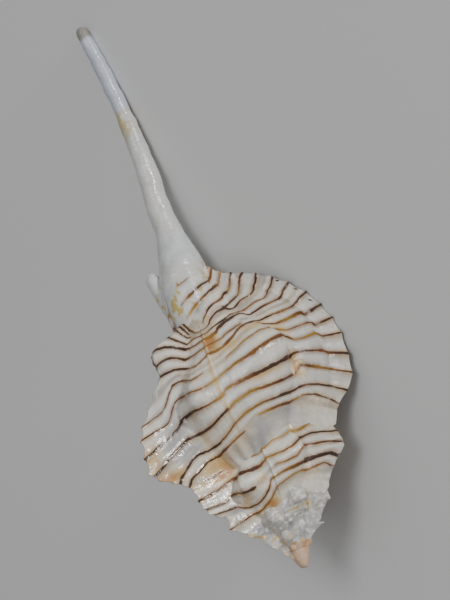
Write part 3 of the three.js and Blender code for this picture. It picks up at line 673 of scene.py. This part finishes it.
slit_azimuth = (4, 70)
slit_half_width = 0.32
slit_widening = 1.5
slit_turn = 14.5
slit_most = 0.42
slit_floor, slit_clear, slit_past = 0.1, 1.3, 0.8
stations = np.concatenate([np.linspace(25.5, 40, 24), np.linspace(41, 65.5, 30)])
centre, radius = canal_at(np.minimum(stations, shell_length))
centre[:, 0] = stations
turning = np.clip((stations - stations[0]) / slit_turn, 0, 1)
azimuth = slit_azimuth[0] + (slit_azimuth[1] - slit_azimuth[0]) * turning**0.8
width = slit_half_width * (slit_widening + (1 - slit_widening) * turning)
width = np.minimum(width, radius * slit_most)
corners = []
for across, out in [(-1, slit_floor), (1, slit_floor), (1, slit_clear), (-1, slit_clear)]:
    deep = radius * out + (slit_past if out == slit_clear else 0)
    corners.append(centre + spot(0, deep, azimuth) + spot(0, across * width, azimuth + 90))
points = np.stack(corners, 1)
slit = bent_tube("slit", points, growth_like(points, slit_kind))

# The aperture: the hollow that the animal lived in, glazed white, coiling back inside the last whorl.
mouth_along, mouth_radius = 22.2, 5.2
mouth_half_along, mouth_half_radius = 5.4, 3.2
mouth_front, mouth_back = 12, 200
mouth_narrowing, mouth_taper = 0.5, 0.35
back = np.linspace(0, 1, 60) ** 1.2
azimuth = mouth_front - back * (mouth_front + mouth_back)
age = np.minimum(0, azimuth / 360)
turn = np.arange(48) * 2 * np.pi / 48
narrow = 1 - mouth_narrowing * ease((1 + np.cos(turn)) / 2)
taper = (1 - mouth_taper * ease(back))[:, None]
along = mouth_along + mouth_half_along * taper * np.cos(turn)
radius = mouth_radius + mouth_half_radius * taper * narrow * np.sin(turn)
along = along * np.exp(through(lengthening, 1, age))[:, None]
radius = radius * np.exp(widening * age)[:, None]
points = spot(along, radius, azimuth[:, None])
hollow = bent_tube("hollow", points, growth_like(points, hollow_kind))
combine(shell, hollow, "DIFFERENCE")
combine(shell, slit, "DIFFERENCE")

# The finished shell is turned over and tipped until the last blade, the body whorl and the tip of the
# canal touch the ground.
rest_roll = -158.25
rest_pitch = 8.11
apex_place = Vector((-32.256, 2.8229, 8.6962)) * millimetre
rest = (
    Matrix.Translation(apex_place)
    @ Matrix.Rotation(math.radians(rest_pitch), 4, "Y")
    @ Matrix.Rotation(math.radians(rest_roll), 4, "X")
)
shell.data.transform(rest)
shell.name = shell.data.name = "shell_finished"
bpy.ops.object.select_all(action="DESELECT")
shell.select_set(True)
bpy.context.view_layer.objects.active = shell
bpy.ops.object.shade_smooth_by_angle(angle=math.radians(38))

# Its finish: hard glossy enamel, cream to grey-white, clear in thin places, with fine growth lines that run
# along the lip. Orange and yellow stains lie round the knobs and the brown lines lie in the surface.
# Painted highlights whiten the band crests and the growth lines, and painted shade greys the hollow past
# the older blade.
enamel = bpy.data.materials.new("shell_enamel")
enamel.use_nodes = True
tree = enamel.node_tree
gloss = tree.nodes["Principled BSDF"]


def node(kind, settings, inputs):
    made = tree.nodes.new(kind)
    for name, value in settings.items():
        setattr(made, name, value)
    for name, value in inputs.items():
        if isinstance(value, bpy.types.NodeSocket):
            tree.links.new(value, made.inputs[name])
        else:
            made.inputs[name].default_value = value
    return made


def maths(operation, a, b=0.0):
    return node("ShaderNodeMath", {"operation": operation}, {0: a, 1: b}).outputs[0]


def between(value, low, high, to_low=0.0, to_high=1.0):
    limits = {"Value": value, "From Min": low, "From Max": high, "To Min": to_low, "To Max": to_high}
    return node("ShaderNodeMapRange", {"interpolation_type": "SMOOTHSTEP"}, limits).outputs["Result"]


def mixed(share, first, second):
    made = node("ShaderNodeMix", {"data_type": "RGBA"}, {"Factor": share})
    for socket, value in ((made.inputs[6], first), (made.inputs[7], second)):
        if isinstance(value, bpy.types.NodeSocket):
            tree.links.new(value, socket)
        else:
            socket.default_value = (*value, 1)
    return made.outputs[2]


def mark(title):
    layer = node("ShaderNodeUVMap", {"uv_map": title}, {})
    parts = node("ShaderNodeSeparateXYZ", {}, {"Vector": layer.outputs["UV"]})
    return parts.outputs["X"], parts.outputs["Y"]


def grain(vector, scale, detail=2.0, rough=0.5):
    settings = {"Vector": vector, "Scale": scale, "Detail": detail, "Roughness": rough}
    return node("ShaderNodeTexNoise", {}, settings).outputs["Fac"]


place = node("ShaderNodeTexCoord", {}, {}).outputs["Object"]
age, cord = mark("growth")
counted, line_length = mark("line")
line_width, line_depth = mark("paint")
orange, glassy_and_shade = mark("stain")

clouds = grain(place, 220, 3)
mottle = grain(place, 700, 3, 0.6)
specks = grain(place, 2200, 2, 0.6)
stretched = {"X": maths("MULTIPLY", age, 150), "Y": maths("MULTIPLY", cord, 0.8)}
along_lip = node("ShaderNodeCombineXYZ", {}, stretched).outputs["Vector"]
growth_lines = grain(along_lip, 1.0, 3, 0.65)

# Cream to grey-white, with painted highlights on the band crests between the lines and painted glints along
# the growth lines, clear grey on the spire
cream, grey_white, white = (0.56, 0.47, 0.34), (0.36, 0.33, 0.3), (0.8, 0.78, 0.73)
colour = mixed(between(clouds, 0.38, 0.62), grey_white, cream)
# Painted highlight: the middle of each band between two lines is whitened as if its crest caught the light
band_crest_highlight = maths("ABSOLUTE", maths("SUBTRACT", maths("FRACT", counted), 0.5))
band_crest_highlight = maths("MULTIPLY", between(band_crest_highlight, 0.42, 0.08), between(line_length, 0.3, 0.9))
colour = mixed(maths("MULTIPLY", band_crest_highlight, 0.6), colour, white)
on_spire = maths("MULTIPLY", between(age, -1.6, -2.1), maths("GREATER_THAN", age, -6))
colour = mixed(maths("MULTIPLY", on_spire, 0.85), colour, (0.4, 0.4, 0.385))
colour = mixed(maths("MULTIPLY", on_spire, between(specks, 0.5, 0.66, 0, 0.8)), colour, white)
# Painted glints: white streaks along the growth lines, painted into the colour
colour = mixed(maths("MULTIPLY", between(growth_lines, 0.55, 0.75), 0.45), colour, white)
colour = mixed(maths("MULTIPLY", between(mottle, 0.5, 0.72), 0.35), colour, white)

# The canal is a cooler white, with an ochre band before its thin clear end, and worn at its tip
on_canal = maths("MULTIPLY", maths("GREATER_THAN", age, 1.5), maths("LESS_THAN", age, 5.5))
colour = mixed(maths("MULTIPLY", on_canal, between(mottle, 0.3, 0.7, 0.6, 0.95)), colour, (0.58, 0.6, 0.61))
along_canal = node("ShaderNodeSeparateXYZ", {}, {"Vector": place}).outputs["X"]
thin_end = maths("MULTIPLY", on_canal, between(along_canal, 0.0212, 0.0222))
colour = mixed(maths("MULTIPLY", thin_end, 0.75), colour, (0.42, 0.46, 0.56))
ochre = maths("MULTIPLY", between(along_canal, 0.0165, 0.0205), between(along_canal, 0.0222, 0.0215))
ochre = maths("MULTIPLY", maths("MULTIPLY", ochre, on_canal), between(mottle, 0.42, 0.62))
colour = mixed(maths("MULTIPLY", ochre, 0.8), colour, (0.45, 0.34, 0.12))
worn_end = maths("MULTIPLY", on_canal, between(along_canal, 0.0306, 0.0312))
colour = mixed(maths("MULTIPLY", worn_end, 0.8), colour, (0.2, 0.17, 0.12))
at_foot = maths("MULTIPLY", on_canal, between(along_canal, 0.0035, 0.0005))
colour = mixed(maths("MULTIPLY", at_foot, between(mottle, 0.52, 0.62)), colour, (0.5, 0.38, 0.12))

# Peach at the apex, orange and yellow stains, glassy patches, and painted shade in the hollow past the
# older blade
peach = maths("MULTIPLY", between(age, -3.1, -3.8), between(mottle, 0.25, 0.6, 0.5, 1))
colour = mixed(maths("MULTIPLY", peach, 0.85), colour, (0.55, 0.31, 0.15))
stained = maths("MULTIPLY", orange, between(mottle, 0.25, 0.7, 0.6, 1.2))
colour = mixed(between(stained, 0.03, 0.5, 0, 0.7), colour, (0.6, 0.4, 0.13))
colour = mixed(between(stained, 0.35, 0.95, 0, 0.85), colour, (0.42, 0.16, 0.035))
# Grey for the glassy patches, and grey painted shade in the hollow past the older blade
cleared_and_shaded = maths("MULTIPLY", glassy_and_shade, between(mottle, 0.3, 0.65, 0.6, 1.1))
colour = mixed(between(cleared_and_shaded, 0.05, 0.9, 0, 0.8), colour, (0.27, 0.275, 0.285))

# A line is darkest along its middle, has ragged sides, and a faint warm stain beside it
wander = maths("MULTIPLY", maths("SUBTRACT", grain(place, 1300, 2), 0.5), 0.13)
from_line = maths("SUBTRACT", counted, maths("ROUND", counted))
from_line = maths("ABSOLUTE", maths("ADD", maths("MULTIPLY", from_line, line_length), wander))
half_line = maths("MULTIPLY", line_width, between(grain(place, 900, 2), 0.3, 0.7, 0.42, 0.72))
drawn = between(line_width, 0.01, 0.07)
core = between(from_line, maths("ADD", half_line, 0.07), maths("SUBTRACT", half_line, 0.05))
halo = between(from_line, maths("ADD", half_line, 0.4), half_line)
ink_depth = maths("ADD", line_depth, between(mottle, 0.25, 0.75, 0.0, 0.12))
ink = node("ShaderNodeValToRGB", {}, {"Fac": ink_depth})
depths = [
    (0.1, (0.46, 0.35, 0.12)), (0.33, (0.32, 0.19, 0.02)), (0.55, (0.17, 0.062, 0.008)),
    (0.75, (0.065, 0.018, 0.006)), (1.0, (0.016, 0.006, 0.005)),
]
stops = ink.color_ramp.elements
stops[0].position, stops[0].color = depths[0][0], (*depths[0][1], 1)
stops[1].position, stops[1].color = depths[-1][0], (*depths[-1][1], 1)
for position, tint in depths[1:-1]:
    stops.new(position).color = (*tint, 1)
colour = mixed(maths("MULTIPLY", maths("MULTIPLY", halo, drawn), 0.42), colour, (0.42, 0.2, 0.06))
colour = mixed(maths("MULTIPLY", maths("MULTIPLY", core, drawn), 0.95), colour, ink.outputs["Color"])

# Glossy, with a slightly uneven skin
tree.links.new(colour, gloss.inputs["Base Color"])
roughness = between(maths("ADD", mottle, maths("MULTIPLY", specks, 0.3)), 0.45, 0.85, 0.13, 0.34)
tree.links.new(roughness, gloss.inputs["Roughness"])
relief = maths("ADD", maths("MULTIPLY", growth_lines, 0.6), maths("MULTIPLY", mottle, 0.8))
relief = maths("ADD", relief, maths("MULTIPLY", specks, 0.25))
bump = node("ShaderNodeBump", {}, {"Height": relief, "Strength": 0.55, "Distance": 0.00022})
tree.links.new(bump.outputs["Normal"], gloss.inputs["Normal"])
gloss.inputs["Subsurface Weight"].default_value = 0.08
gloss.inputs["Subsurface Radius"].default_value = (1, 0.7, 0.5)
gloss.inputs["Subsurface Scale"].default_value = 0.0006
shell.data.materials.clear()
shell.data.materials.append(enamel)

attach(shell, "root")
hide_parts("shell")

# A plain pale floor under soft studio light.
bpy.ops.object.select_all(action="DESELECT")
bpy.ops.mesh.primitive_plane_add(size=6, location=(0, 0, 0))
floor = bpy.context.object
floor.name = "floor"
paper = bpy.data.materials.new("floor_paper")
paper.use_nodes = True
sheen = paper.node_tree.nodes["Principled BSDF"]
sheen.inputs["Base Color"].default_value = (0.72, 0.72, 0.72, 1)
sheen.inputs["Roughness"].default_value = 0.9
floor.data.materials.append(paper)

# The camera looks down on the shell's back from far off, with a long lens.
view_out = Vector((-0.206, -0.751, 0.627)).normalized()
view_up = Vector((0.856, -0.449, -0.257)).normalized()
view_right = view_up.cross(view_out).normalized()
view_up = view_out.cross(view_right).normalized()
aim = apex_place + (view_right * -8.59 + view_up * 28.50) * millimetre
distance = 2.1
frame_height = 0.06404
sensor = 36
camera_data = bpy.data.cameras.new("camera")
camera = bpy.data.objects.new("camera", camera_data)
bpy.context.scene.collection.objects.link(camera)
turned = Matrix((view_right, view_up, view_out)).transposed().to_4x4()
camera.matrix_world = Matrix.Translation(aim + view_out * distance) @ turned
camera_data.lens = sensor * distance / frame_height
camera_data.clip_start = 0.01
bpy.context.scene.camera = camera


def soft_light(name, place, size, power):
    lamp = bpy.data.lights.new(name, "AREA")
    lamp.shape = "DISK"
    lamp.size = size
    lamp.energy = power
    light = bpy.data.objects.new(name, lamp)
    bpy.context.scene.collection.objects.link(light)
    light.location = place
    light.rotation_euler = (aim - Vector(place)).to_track_quat("-Z", "Y").to_euler()


soft_light("key", aim + (view_out * 0.42 + view_up * 0.36 + view_right * 0.26), 0.1, 7.5)
soft_light("fill", aim + (view_out * 0.6 + view_up * 0.1 - view_right * 0.3), 0.3, 1.4)
world = bpy.data.worlds.new("studio")
world.use_nodes = True
sky = world.node_tree.nodes["Background"]
sky.inputs["Color"].default_value = (1, 1, 1, 1)
sky.inputs["Strength"].default_value = 0.32
bpy.context.scene.world = world
